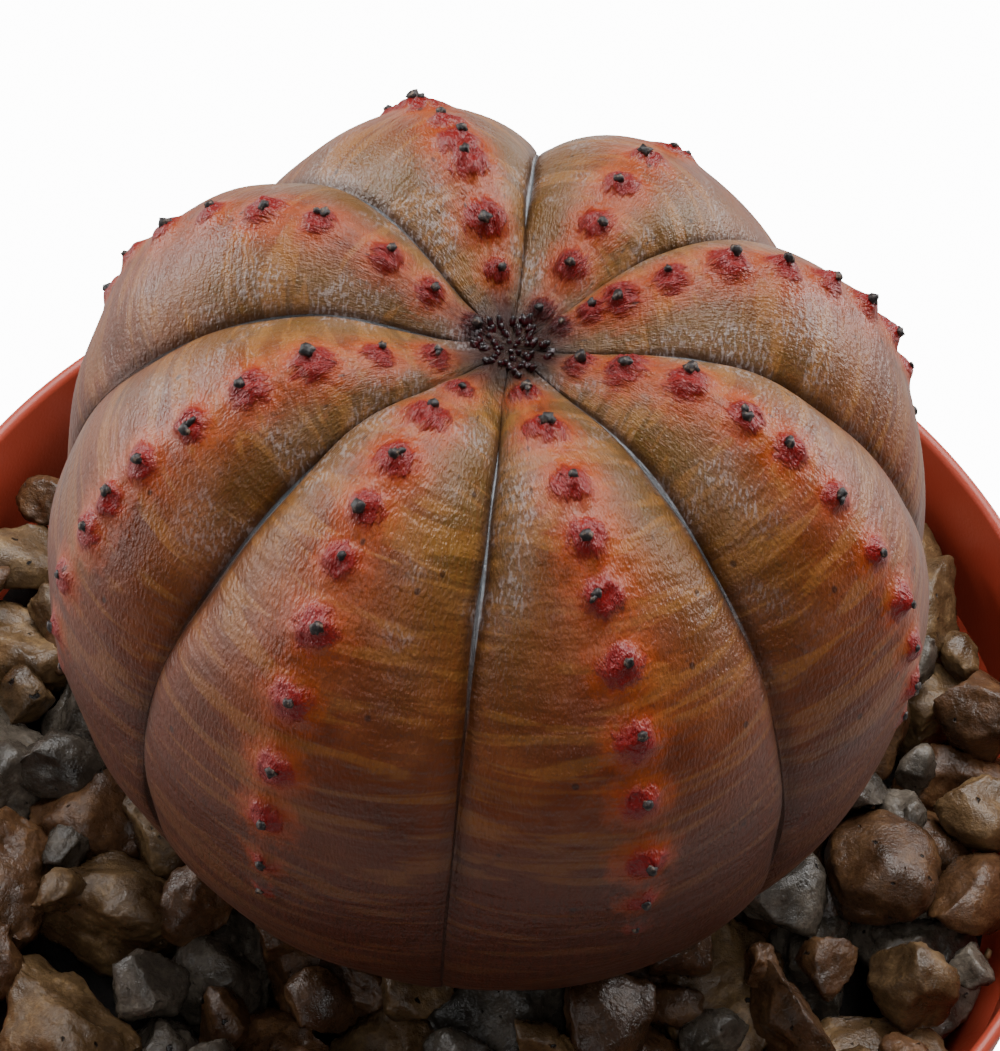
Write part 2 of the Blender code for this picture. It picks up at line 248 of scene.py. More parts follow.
# Pale growth bands, 0.5 to 1 mm wide, run across each rib from furrow to furrow.
band_place = add(tree, "VectorMath", {0: place, 1: (0.11, 0.8, 1.0)}, operation="MULTIPLY")
band_noise = {"Vector": band_place, "Scale": 1.0, "Detail": 2.5, "Roughness": 0.55, "Distortion": 0.9}
bands = add(tree, "TexNoise", band_noise)
band_share = add(tree, "MapRange", {0: bands, 1: 0.5, 2: 0.6}, interpolation_type="SMOOTHSTEP")
band_fade = add(tree, "MapRange", {0: along, 1: 40.0, 2: 14.0, 3: 0.07, 4: 0.36})
band_share = add(tree, "Math", {0: band_share, 1: band_fade}, operation="MULTIPLY")
banded = add(tree, "MixRGB", {0: band_share, 1: low_shaded, 2: paint("#b67d3c")})

# Fine streaks of cells, 0.15 mm wide and a few millimetres long, run down the rib.
streak_place = add(tree, "VectorMath", {0: place, 1: (5.0, 0.7, 1.0)}, operation="MULTIPLY")
streaks = add(tree, "TexNoise", {"Vector": streak_place, "Scale": 1.0, "Detail": 3.0, "Roughness": 0.6})
streak_share = add(tree, "MapRange", {0: streaks, 1: 0.35, 2: 0.68, 3: 0.0, 4: 0.35})
streaked = add(tree, "MixRGB", {0: streak_share, 1: banded, 2: paint("#6e2a0e")})

# Irregular orange skin round each wart, crimson on it.
smear_place = add(tree, "VectorMath", {0: place, 1: (1.6, 1.1, 1.0)}, operation="MULTIPLY")
smears = add(tree, "TexNoise", {"Vector": smear_place, "Scale": 1.0, "Detail": 3.0, "Roughness": 0.65})
uneven_halo = add(tree, "Math", {0: smears, 1: 0.9, 2: -0.45}, operation="MULTIPLY_ADD")
halo_edge = add(tree, "Math", {0: halo, 1: uneven_halo}, operation="ADD")
orange_share = add(tree, "MapRange", {0: halo_edge, 1: 0.3, 2: 0.85, 3: 0.0, 4: 0.75})
haloed = add(tree, "MixRGB", {0: orange_share, 1: streaked, 2: paint("#b04a18")})
wart_edge = add(tree, "Math", {0: wart, 1: uneven_halo}, operation="ADD")
wart_range = {0: wart_edge, 1: 0.3, 2: 0.78, 3: 0.0, 4: 0.95}
wart_paint = add(tree, "MapRange", wart_range, interpolation_type="SMOOTHSTEP")
warted = add(tree, "MixRGB", {0: wart_paint, 1: haloed, 2: paint("#7c070e")})

# Painted shade in the crease beside each seam, and in it a pale blue-grey line of painted highlight, where
# the rounded seam edge catches the light, in the upper half.
furrow_shade_range = {0: away, 1: 0.88, 2: 0.98, 3: 0.0, 4: 0.7}
furrow_shade = add(tree, "MapRange", furrow_shade_range, interpolation_type="SMOOTHSTEP")
fading_range = {0: along, 1: 12.0, 2: 34.0, 3: 1.0, 4: 0.4}
seam_low = add(tree, "MapRange", fading_range, interpolation_type="SMOOTHSTEP")
furrow_shade = add(tree, "Math", {0: furrow_shade, 1: seam_low}, operation="MULTIPLY")
furrow_shaded = add(tree, "MixRGB", {0: furrow_shade, 1: warted, 2: paint("#2b160c")})
# Painted highlight: a pale line along the seam, standing in for the light on its rounded edge.
seam_highlight = add(tree, "MapRange", {0: away, 1: 0.981, 2: 0.99}, interpolation_type="SMOOTHSTEP")
seam_highlight_top = add(tree, "MapRange", {0: along, 1: 23.0, 2: 14.0}, interpolation_type="SMOOTHSTEP")
seam_highlight_breaks = add(tree, "MapRange", {0: smears, 1: 0.3, 2: 0.55, 3: 0.35, 4: 1.0})
seam_highlight_share = add(tree, "Math", {0: seam_highlight, 1: seam_highlight_top}, operation="MULTIPLY")
seam_highlight_share = add(tree, "Math", {0: seam_highlight_share, 1: seam_highlight_breaks}, operation="MULTIPLY")
seam_highlighted = add(tree, "MixRGB", {0: seam_highlight_share, 1: furrow_shaded, 2: paint("#9da4ab")})

# The sunken middle is almost black.
middle_range = {0: along, 1: 4.2, 2: 1.6, 3: 0.0, 4: 0.9}
middle_dark = add(tree, "MapRange", middle_range, interpolation_type="SMOOTHSTEP")
seam_highlighted = add(tree, "MixRGB", {0: middle_dark, 1: seam_highlighted, 2: paint("#1d0e10")})

# Dark freckles, 0.2 to 0.4 mm, thinly strewn.
freckle_place = add(tree, "VectorMath", {0: place, 1: (0.45, 0.45, 1.0)}, operation="MULTIPLY")
freckles = add(tree, "TexVoronoi", {"Vector": freckle_place, "Scale": 1.0, "Randomness": 1.0})
freckle_share = add(tree, "MapRange", {0: freckles.outputs["Distance"], 1: 0.1, 2: 0.06, 3: 0.0, 4: 0.7})
skin_colour = add(tree, "MixRGB", {0: freckle_share, 1: seam_highlighted, 2: paint("#240d08")})

# Pale dashes, 0.12 mm wide and up to 0.6 mm long, in patches on the upper flanks: painted glints, the light
# caught by the wax put into the colour as flecks of dry wax.
solid_place = add(tree, "TexCoord").outputs["Object"]
fleck_place = add(tree, "VectorMath", {0: solid_place, 1: (7600.0, 2900.0, 2900.0)}, operation="MULTIPLY")
flecks = add(tree, "TexNoise", {"Vector": fleck_place, "Scale": 1.0, "Detail": 1.5, "Roughness": 0.5})
patches = add(tree, "TexNoise", {"Vector": solid_place, "Scale": 330.0, "Detail": 2.0})
glint_patch_share = add(tree, "MapRange", {0: patches, 1: 0.5, 2: 0.66}, interpolation_type="SMOOTHSTEP")
# A pale pinkish wax bloom in patches on the upper parts: partly the real waxy bloom, partly painted sheen for
# the light the wax throws back up there.
bloom_and_sheen_top = add(tree, "MapRange", {0: along, 1: 30.0, 2: 10.0}, interpolation_type="SMOOTHSTEP")
bloom_and_sheen_patch = add(tree, "MapRange", {0: patches, 1: 0.42, 2: 0.66, 3: 0.0, 4: 0.1})
bloom_and_sheen_share = add(tree, "Math", {0: bloom_and_sheen_patch, 1: bloom_and_sheen_top}, operation="MULTIPLY")
wart_free = add(tree, "Math", {0: 1.0, 1: wart_paint}, operation="SUBTRACT")
bloom_and_sheen_share = add(tree, "Math", {0: bloom_and_sheen_share, 1: wart_free}, operation="MULTIPLY")
skin_colour = add(tree, "MixRGB", {0: bloom_and_sheen_share, 1: skin_colour, 2: paint("#b09086")})
glint_top = add(tree, "MapRange", {0: along, 1: 26.0, 2: 13.0}, interpolation_type="SMOOTHSTEP")
glint_flank = add(tree, "MapRange", {0: away, 1: 0.25, 2: 0.55}, interpolation_type="SMOOTHSTEP")
glint_edge = add(tree, "MapRange", {0: flecks, 1: 0.5, 2: 0.6})
glint_share = add(tree, "Math", {0: glint_patch_share, 1: glint_top}, operation="MULTIPLY")
glint_share = add(tree, "Math", {0: glint_share, 1: glint_flank}, operation="MULTIPLY")
glint_share = add(tree, "Math", {0: glint_share, 1: glint_edge}, operation="MULTIPLY")
painted_glint_share = add(tree, "Math", {0: glint_share, 1: 0.26}, operation="MULTIPLY")
skin_colour = add(tree, "MixRGB", {0: painted_glint_share, 1: skin_colour, 2: paint("#c9c2c4")})

# The wax: cell bumps 0.12 mm wide and 0.4 mm long, drawn along the rib, over a slower unevenness.
cell_place = add(tree, "VectorMath", {0: place, 1: (4.6, 3.4, 1.0)}, operation="MULTIPLY")
cells = add(tree, "TexNoise", {"Vector": cell_place, "Scale": 1.0, "Detail": 2.0, "Roughness": 0.6})
pucker_place = add(tree, "VectorMath", {0: place, 1: (0.35, 1.4, 1.0)}, operation="MULTIPLY")
puckers = add(tree, "TexNoise", {"Vector": pucker_place, "Scale": 1.0, "Detail": 2.0})
fleck_bump = add(tree, "Bump", {"Strength": 1.0, "Distance": 0.00006, "Height": flecks})
cell_strength = add(tree, "MapRange", {0: along, 1: 14.0, 2: 30.0, 3: 0.9, 4: 0.3})
cell_relief = {"Strength": cell_strength, "Distance": 0.00008, "Height": cells, "Normal": fleck_bump}
cell_bump = add(tree, "Bump", cell_relief)
pleat_phase = add(tree, "Math", {0: wart_edge, 1: 11.0}, operation="MULTIPLY")
pleats = add(tree, "Math", {0: pleat_phase}, operation="SINE")
pleats = add(tree, "Math", {0: pleats, 1: wart_paint}, operation="MULTIPLY")
pleat_bump = add(tree, "Bump", {"Strength": 1.0, "Distance": 0.00005, "Height": pleats, "Normal": cell_bump})
skin_bump = add(tree, "Bump", {"Strength": 1.0, "Distance": 0.00012, "Height": puckers, "Normal": pleat_bump})
wax_low = add(tree, "MapRange", {0: along, 1: 14.0, 2: 34.0, 3: 0.0, 4: 0.16})
wax = add(tree, "MapRange", {0: blotches, 1: 0.3, 2: 0.7, 3: 0.24, 4: 0.38})
wax = add(tree, "Math", {0: wax, 1: wax_low}, operation="ADD")
shader = add(
    tree,
    "BsdfPrincipled",
    {
        "Base Color": skin_colour,
        "Roughness": wax,
        "Normal": skin_bump,
        "IOR": 1.45,
        "Sheen Weight": 0.05,
        "Sheen Roughness": 0.45,
        "Sheen Tint": paint("#dba98f"),
    },
)
tree.links.new(shader.outputs[0], tree.nodes["Material Output"].inputs["Surface"])

# The grid of the skin: rings down the body, columns closest on the crests and in the furrows.
ring_along = np.concatenate(
    [np.arange(0.25, BURIED_FROM, RING_GAP), np.linspace(BURIED_FROM, fine_along[-1], 9)]
)
step = np.linspace(-1, 1, RIB_COLUMNS, endpoint=False)
column_across = np.sign(step) * (np.abs(step) - 0.1 * np.sin(2 * math.pi * np.abs(step)))
grid_along, grid_across = np.meshgrid(ring_along, column_across, indexing="ij")
strips = [skin_points(grid_along, grid_across, *rib[1:4]) for rib in RIBS]
body = np.concatenate(strips, axis=1)
body_along = np.tile(grid_along, (1, len(RIBS)))
body_across = np.tile(grid_across, (1, len(RIBS)))
body_rib = np.repeat(np.arange(len(RIBS)), RIB_COLUMNS)[None, :] + 0 * body_along

# Which way the skin faces, taken across its own grid.
down = np.gradient(body, axis=0)
around = np.roll(body, -1, axis=1) - np.roll(body, 1, axis=1)
outward = np.cross(down, around)
outward /= np.maximum(np.linalg.norm(outward, axis=2, keepdims=True), 1e-9)

# The warts: each a low pointed swelling that fades towards the gravel, with a wide soft foot.
dice = random.Random(5)
wart_share = np.zeros(body_along.shape)
halo_share = np.zeros(body_along.shape)
push = np.zeros(body_along.shape)
warts = []
for rib_index, (_, facing, turn, lean, swell, spots) in enumerate(RIBS):
    for spot in spots:
        nudge = dice.uniform(-0.012, 0.012)
        youth = min(1.0, 0.45 + spot / 11)
        fade = 1.0 - 0.75 * min(1.0, max(0.0, (spot - 29) / 7))
        size = youth * dice.uniform(0.85, 1.15) * (0.6 + 0.4 * fade)
        centre = skin_points(np.array([spot]), np.array([nudge]), facing, turn, lean)[0]
        reach = np.linalg.norm(body - centre, axis=2) / size
        push += fade * size * (0.42 * np.exp(-((reach / 0.72) ** 2.5)) + 0.18 * np.exp(-((reach / 1.5) ** 2)))
        wart_share = np.maximum(wart_share, (0.3 + 0.7 * fade) * np.exp(-((reach / 1.12) ** 2)))
        halo_share = np.maximum(halo_share, fade * np.exp(-((reach / 1.75) ** 2)))
        warts.append((centre, size, fade, spot, rib_index))
push *= 1 + 0.3 * np.sin(body_along * 3.7 + body_rib) * np.sin(body_across * 26 + body_along * 1.9)
wave = 0.10 * np.sin(body_along / 3.1 + body_rib * 2.4) * np.cos(body_across * 3 + body_rib)
wave += 0.05 * np.sin(body_along / 1.3 + body_across * 5 + body_rib * 5.1)
push += wave * np.clip(body_along / 8, 0, 1) * np.clip((58 - body_along) / 6, 0, 1)
body = body + outward * push[..., None]

# The root carries on from the neck, tapering into the mix.
column_count = body_along.shape[1]
neck_height = body[-1, :, 2].mean()
root_steps = np.linspace(0, 1, 9)[1:]
root_azimuth = np.arctan2(body[-1, :, 1], body[-1, :, 0])
root_rings = []
for share in root_steps:
    root_radius = NECK_RADIUS + (ROOT_TIP_RADIUS - NECK_RADIUS) * share
    ring = [root_radius * np.cos(root_azimuth), root_radius * np.sin(root_azimuth)]
    root_rings.append(np.stack([*ring, np.full(column_count, neck_height - ROOT_LENGTH * share)], -1))
grid = np.concatenate([body, np.stack(root_rings)])
apex = np.array([[0.0, 0.0, body[0, :, 2].mean()]])
tip = np.array([[0.0, 0.0, grid[-1, 0, 2] - 0.6]])
skin_vertices = np.concatenate([grid.reshape(-1, 3), apex, tip])
apex_index, tip_index = len(skin_vertices) - 2, len(skin_vertices) - 1
all_rings = len(grid)
skin_faces = []
for ring in range(all_rings - 1):
    here, below = ring * column_count, (ring + 1) * column_count
    for column in range(column_count):
        beside = (column + 1) % column_count
        skin_faces.append((here + column, below + column, below + beside, here + beside))
for column in range(column_count):
    beside = (column + 1) % column_count
    last = (all_rings - 1) * column_count
    skin_faces.append((apex_index, column, beside))
    skin_faces.append((tip_index, last + beside, last + column))

plant_skin = named_piece("plant_skin", skin_vertices, skin_faces, succulent_hide)


def over_root(values, ends=(0.0, 0.0)):
    """The values of the body's grid, carried on unchanged down the root, and to the two end points."""
    rest = np.repeat(values[-1:], len(root_steps), axis=0)
    return np.concatenate([np.concatenate([values, rest]).ravel(), ends])


mark(plant_skin, "along", over_root(body_along, (0.0, 90.0)))
mark(plant_skin, "away", over_root(np.abs(body_across)))
mark(plant_skin, "wart", over_root(np.clip(wart_share, 0, 1)))
mark(plant_skin, "halo", over_root(np.clip(halo_share, 0, 1)))
half_rib = BODY_RADIUS * math.pi / len(RIBS)
RIB_APART = 40.0  # keeps the patterns of two ribs from meeting
over_ribs = (body_across * half_rib, body_along, body_rib * RIB_APART)
rib_place = np.stack([over_root(values) for values in over_ribs], -1)
layer = plant_skin.data.attributes.new("rib_place", "FLOAT_VECTOR", "POINT")
layer.data.foreach_set("vector", rib_place.astype(np.float32).ravel())
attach(plant_skin, "root")
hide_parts("plant")


# ---------------------------------------------------------------- dry tips on the warts
# What is left of each leaf is a crumb of dead grey-brown tissue, about half a millimetre, stuck on its wart.
dead_tissue, tree = new_material("dead_leaf_tissue")
spot_place = add(tree, "TexCoord").outputs["Object"]
dust = add(tree, "TexNoise", {"Vector": spot_place, "Scale": 4000.0, "Detail": 3.0})
dust_colours = (0.38, "#0f0a0b"), (0.56, "#2d211f"), (0.74, "#84705f")
dust_colour = add(tree, "ValToRGB", {0: dust}, stops=dust_colours)
crumb_bump = add(tree, "Bump", {"Strength": 0.8, "Distance": 0.00008, "Height": dust})
shader = add(tree, "BsdfPrincipled", {"Base Color": dust_colour, "Roughness": 0.5, "Normal": crumb_bump})
tree.links.new(shader.outputs[0], tree.nodes["Material Output"].inputs["Surface"])


def crumb(centre, axis, long_radius, wide_radius, seed, detail=2):
    """A small lump drawn out along an axis, with a rough skin. Returns points and faces."""
    ball = bmesh.new()
    bmesh.ops.create_icosphere(ball, subdivisions=detail, radius=1.0)
    turn = Vector((0, 0, 1)).rotation_difference(Vector(axis))
    points = []
    for vertex in ball.verts:
        rough = 1 + 0.6 * noise.noise(vertex.co * 1.6 + Vector((seed * 7.3, 0, 0)))
        shaped = Vector((vertex.co.x * wide_radius, vertex.co.y * wide_radius, vertex.co.z * long_radius))
        points.append(turn @ (shaped * rough) + Vector(centre))
    faces = [tuple(v.index for v in face.verts) for face in ball.faces]
    ball.free()
    return [tuple(p) for p in points], faces


def gather(parts):
    """Joins lists of points and faces into one."""
    points, faces = [], []
    for part_points, part_faces in parts:
        faces.extend(tuple(i + len(points) for i in face) for face in part_faces)
        points.extend(part_points)
    return points, faces


flat_body = body.reshape(-1, 3)
flat_outward = outward.reshape(-1, 3)
tips = []
for number, (centre, size, fade, spot, rib_index) in enumerate(warts):
    direction = flat_outward[np.argmin(np.linalg.norm(flat_body - centre, axis=1))]
    near = flat_body[np.linalg.norm(flat_body - centre, axis=1) < 1.0 * size]
    peak = near[np.argmax((near - centre) @ direction)]
    wide = (0.11 + 0.16 * size) * dice.uniform(0.75, 1.2)
    tips.append(crumb(peak - direction * wide * 0.3, direction, wide * dice.uniform(0.65, 1.0), wide, number))
    if dice.random() < 0.2:
        sideways = np.cross(direction, (dice.uniform(-1, 1), dice.uniform(-1, 1), dice.uniform(-1, 1)))
        beside_peak = peak + sideways / np.linalg.norm(sideways) * wide * 1.3 - direction * 0.05
        tips.append(crumb(beside_peak, sideways, wide * 0.9, wide * 0.55, number + 0.5))
dry_tips = named_piece("dry_wart_tips", *gather(tips), dead_tissue)
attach(dry_tips, "root")


# ---------------------------------------------------------------- growing point
# New warts crowd in the sunken middle, each a tiny dark crimson peg with a dry tip, packed in a spiral.
young_pegs_material, tree = new_material("young_leaf_pegs")
peg_height = add(tree, "Attribute", attribute_name="peg_height").outputs["Fac"]
peg_colours = (0.15, "#35070f"), (0.6, "#4a1018"), (0.85, "#1d1416")
peg_colour = add(tree, "ValToRGB", {0: peg_height}, stops=peg_colours)
peg_place = add(tree, "TexCoord").outputs["Object"]
peg_noise = add(tree, "TexNoise", {"Vector": peg_place, "Scale": 3500.0, "Detail": 2.0})
peg_pale = add(tree, "MapRange", {0: peg_noise, 1: 0.6, 2: 0.68, 3: 0.0, 4: 0.8})
peg_colour = add(tree, "MixRGB", {0: peg_pale, 1: peg_colour, 2: paint("#8d8589")})
shader = add(tree, "BsdfPrincipled", {"Base Color": peg_colour, "Roughness": 0.3})
tree.links.new(shader.outputs[0], tree.nodes["Material Output"].inputs["Surface"])

PEG_COUNT = 60
PEG_SPREAD = 1.75
GOLDEN_TURN = math.radians(137.5)
pegs = []
for number in range(PEG_COUNT):
    out = PEG_SPREAD * math.sqrt((number + 0.5) / PEG_COUNT) * dice.uniform(0.8, 1.15)
    swing = number * GOLDEN_TURN + dice.uniform(-0.4, 0.4)
    peg_along = np.array([out * 1.02])
    foot_radius, foot_height = on_crest(peg_along)[:2]
    foot_x, foot_y = foot_radius[0] * math.cos(swing), foot_radius[0] * math.sin(swing)
    foot = np.array([foot_x, foot_y, foot_height[0] + body_middle])
    peg_way = Vector((math.cos(swing) * 0.5, math.sin(swing) * 0.5, 1.0)).normalized()
    peg_long = (0.17 + 0.07 * out) * dice.uniform(0.6, 1.5)
    pegs.append(crumb(foot + np.array(peg_way) * 0.05, peg_way, peg_long, 0.10 + 0.04 * out, number * 1.7))
young_pegs = named_piece("young_pegs", *gather(pegs), young_pegs_material)
heights = []
for points, _ in pegs:
    level = np.array(points)[:, 2]
    heights.extend((level - level.min()) / np.ptp(level))
mark(young_pegs, "peg_height", heights)
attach(young_pegs, "root")


# ---------------------------------------------------------------- gravel
# A top dressing of river gravel, 4 to 8 mm, poured round the plant. Each stone is a water-worn piece of
# siltstone or sandstone with a rough, slightly damp skin. Smaller stones and grit have run down between them.
def gravel_material(name, dark, middle, pale, roughness):
    """Worn stone: the colour shifts slowly over it, with a fine grain, pits painted near-black as painted
    shade inside them, and a faint damp gloss.
    """
    material, tree = new_material(name)
    place = add(tree, "TexCoord").outputs["Object"]
    clouds = add(tree, "TexNoise", {"Vector": place, "Scale": 420.0, "Detail": 4.0, "Roughness": 0.65})
    colour = add(tree, "ValToRGB", {0: clouds}, stops=((0.32, dark), (0.5, middle), (0.68, pale)))
    grain = add(tree, "TexNoise", {"Vector": place, "Scale": 3200.0, "Detail": 3.0, "Roughness": 0.7})
    grain_share = add(tree, "MapRange", {0: grain, 1: 0.42, 2: 0.62, 3: 0.45, 4: 0.0})
    grained = add(tree, "MixRGB", {0: grain_share, 1: colour, 2: paint(dark)})
    tint = add(tree, "Attribute", attribute_name="stone_tint").outputs["Fac"]
    tinted = add(tree, "HueSaturation", {"Value": tint, "Color": grained})
    warp = add(
        tree,
        "VectorMath",
        {0: grain.outputs["Color"], 1: (0.0004, 0.0004, 0.0004), 2: place},
        operation="MULTIPLY_ADD",
    )
    pits = add(tree, "TexNoise", {"Vector": warp, "Scale": 1500.0, "Detail": 1.0})
    # Painted shade: the pits are dented by the bump and painted almost black, for the shade inside them.
    pit_share = add(tree, "MapRange", {0: pits, 1: 0.735, 2: 0.775})
    pit_shaded = add(tree, "MixRGB", {0: pit_share, 1: tinted, 2: paint("#120d0a")})
    pit_depth = add(tree, "Math", {0: pit_share, 1: -1.0}, operation="MULTIPLY")
    fine = add(tree, "Bump", {"Strength": 0.8, "Distance": 0.00012, "Height": grain})
    both = add(tree, "Bump", {"Strength": 1.0, "Distance": 0.0002, "Height": pit_depth, "Normal": fine})
    damp = add(tree, "MapRange", {0: clouds, 1: 0.35, 2: 0.65, 3: roughness - 0.12, 4: roughness + 0.12})
    shader = add(tree, "BsdfPrincipled", {"Base Color": pit_shaded, "Roughness": damp, "Normal": both})
    tree.links.new(shader.outputs[0], tree.nodes["Material Output"].inputs["Surface"])
    return material


gravel_kinds = (
    ("tan_gravel", gravel_material("tan_sandstone", "#4b3824", "#70573b", "#987a52", 0.34)),
    ("brown_gravel", gravel_material("brown_siltstone", "#3b291a", "#5d402a", "#7d5a39", 0.32)),
    ("grey_gravel", gravel_material("grey_siltstone", "#38332d", "#554d43", "#776d60", 0.26)),
)


WORN_FLATS = 7


def water_worn(points, faces, level, lump, grit, seed):
    """Rounds a coarse stone, wears flats on it and roughens it. Returns points and faces."""
    rough = bmesh.new()
    corners = [rough.verts.new(p) for p in points]
    for face in faces:
        rough.faces.new([corners[i] for i in face])
    bmesh.ops.remove_doubles(rough, verts=rough.verts, dist=0.01)
    mesh = bpy.data.meshes.new("worn")
    rough.to_mesh(mesh)
    rough.free()
    blank = bpy.data.objects.new("worn", mesh)
    bpy.context.scene.collection.objects.link(blank)
    rounding = blank.modifiers.new("rounding", "SUBSURF")
    rounding.levels = rounding.render_levels = level
    worn = blank.evaluated_get(bpy.context.evaluated_depsgraph_get()).to_mesh()
    places = np.array([vertex.co for vertex in worn.vertices])
    middle = places.mean(0)
    wear = random.Random(seed * 31 + 7)
    for _ in range(WORN_FLATS):
        flat_way = np.array([wear.gauss(0, 1) for _ in range(3)])
        flat_way /= np.linalg.norm(flat_way)
        beyond = (places - middle) @ flat_way
        beyond = beyond - beyond.max() * wear.uniform(0.52, 0.82)
        places = places - np.outer(np.maximum(beyond, 0) * 0.93, flat_way)
    shift = Vector((seed * 13.7, seed * 5.1, 0))
    made = []
    for vertex, place in zip(worn.vertices, places):
        here = Vector(place) + shift
        bulge = lump * noise.noise(here * 0.38) + grit * noise.fractal(here * 1.5, 0.65, 2.1, 4)
        made.append(Vector(place) + vertex.normal * bulge)
    made_faces = [tuple(polygon.vertices) for polygon in worn.polygons]
    bpy.data.objects.remove(blank)
    bpy.data.meshes.remove(mesh)
    return [tuple(p) for p in made], made_faces


POT_WALL = 0.8
POT_WALL_FOOT = 23.0
POT_WALL_TOP = 30.9
POT_WALL_RISE = 46.0
PRESSED_GAP = 0.15
STONES_UNDER_RIM = 0.7
mix_low, mix_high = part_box("potting_mix")
mix_top = mix_high.z / MM


def pot_inside(height):
    """Inner radius of the pot wall at a height."""
    return POT_WALL_FOOT - POT_WALL + (POT_WALL_TOP - POT_WALL_FOOT) * height / POT_WALL_RISE


def body_side(height):
    """Largest radius of the plant at a height."""
    below = fine_along > 33.0
    return np.interp(-(height - body_middle), -fine_height[below], fine_radius[below])


def kept_clear(points):
    """Points of a stone, pressed flat where they would reach into the pot wall, the plant or past the rim."""
    points = np.array(points)
    out = np.hypot(points[:, 0], points[:, 1])
    furthest = pot_inside(points[:, 2]) - PRESSED_GAP
    nearest = body_side(points[:, 2]) + PRESSED_GAP
    share = np.clip(out, nearest, furthest) / np.maximum(out, 0.1)
    points[:, 2] = np.minimum(points[:, 2], rim_height - STONES_UNDER_RIM)
    return np.column_stack([points[:, 0] * share, points[:, 1] * share, points[:, 2]])


STONE_SWELL = 1.45
stone_nodes = sorted(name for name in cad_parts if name.startswith("gravel_stone_"))
stone_centres = []
for number, node in enumerate(stone_nodes):
    cad_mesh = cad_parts[node].data
    corners = np.array([v.co for v in cad_mesh.vertices]) / MM
    centre = (corners.min(0) + corners.max(0)) / 2
    faces = [tuple(polygon.vertices) for polygon in cad_mesh.polygons]
    swollen = centre + (corners - centre) * STONE_SWELL
    stone_centres.append((centre, np.ptp(corners, axis=0).mean() / 2))
    points, faces = water_worn(swollen, faces, level=3, lump=0.9, grit=0.2, seed=number)
    points = kept_clear(points)
    slot_name, material = gravel_kinds[number % len(gravel_kinds)]
    stone = named_piece(node.replace("gravel_", ""), points, faces, material)
    mark(stone, "stone_tint", np.full(len(points), 0.75 + 0.5 * dice.random()))
    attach(stone, "root")
    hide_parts(node)

# The smaller stones: each tries many places and settles in the lowest one that it fits.
FILLER_SIZES = (2.4, 3.1), (1.9, 2.5), (1.2, 1.7)
FILLERS_OF_EACH = 56
FILLER_TRIES = 200
FILLER_SWELL = 1.35
GRAVEL_BELOW_RIM = 1.2
GRAVEL_FROM = 13.0
GRAVEL_TO = 30.2
settled = [(centre, radius * 0.95) for centre, radius in stone_centres]
settled_places = np.array([centre for centre, _ in settled])
settled_sizes = np.array([radius for _, radius in settled])
fillers = []
for number in range(FILLERS_OF_EACH * len(FILLER_SIZES)):
    size = dice.uniform(*FILLER_SIZES[number // FILLERS_OF_EACH])
    best = None
    for attempt in range(FILLER_TRIES):
        swing = dice.uniform(0, 2 * math.pi)
        out = math.sqrt(dice.uniform(GRAVEL_FROM**2, GRAVEL_TO**2))
        spot = np.array([out * math.cos(swing), out * math.sin(swing)])
        level = mix_top - 0.6 + size * 0.7
        gap = np.hypot(settled_places[:, 0] - spot[0], settled_places[:, 1] - spot[1])
        touch = settled_sizes + size * 0.9
        under = gap < touch
        if under.any():
            rests = settled_places[under, 2] + np.sqrt(touch[under] ** 2 - gap[under] ** 2)
            level = max(level, rests.max())
        fits = out + size < pot_inside(level) - 0.1 and out - size > body_side(level) + 0.3
        if fits and (best is None or level < best[2]):
            best = (spot[0], spot[1], level)
    if best is not None and best[2] + size < rim_height - GRAVEL_BELOW_RIM:
        settled.append((np.array(best), size))
        settled_places = np.vstack([settled_places, best])
        settled_sizes = np.append(settled_sizes, size)
        fillers.append((np.array(best), size))

for kind_number, (slot_name, material) in enumerate(gravel_kinds):
    parts, tints = [], []
    for number, (centre, size) in enumerate(fillers):
        if number % 3 != kind_number:
            continue
        ball = bmesh.new()
        bmesh.ops.create_icosphere(ball, subdivisions=1, radius=1.0)
        spin = dice.uniform(0, 6.28)
        turn = Matrix.Rotation(spin, 3, Vector((dice.uniform(-1, 1), dice.uniform(-1, 1), 1)))
        shape = Vector((dice.uniform(1.1, 1.6), dice.uniform(0.9, 1.1), dice.uniform(0.7, 0.95)))
        corners = []
        for vertex in ball.verts:
            co = vertex.co * (1 + 0.25 * dice.uniform(-1, 1))
            turned = turn @ Vector((co.x * shape.x, co.y * shape.y, co.z * shape.z))
            corners.append(turned * size * FILLER_SWELL + Vector(centre))
        faces = [tuple(v.index for v in face.verts) for face in ball.faces]
        ball.free()
        level = 3 if size > 1.25 else 2
        part_points, faces = water_worn(corners, faces, level, lump=0.5, grit=0.16, seed=100 + number)
        part = kept_clear(part_points).tolist(), faces
        parts.append(part)
        tints.extend([0.7 + 0.5 * dice.random()] * len(part[0]))
    small_stones = named_piece("small_stones_" + slot_name.split("_")[0], *gather(parts), material)
    mark(small_stones, "stone_tint", tints)
    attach(small_stones, "root")


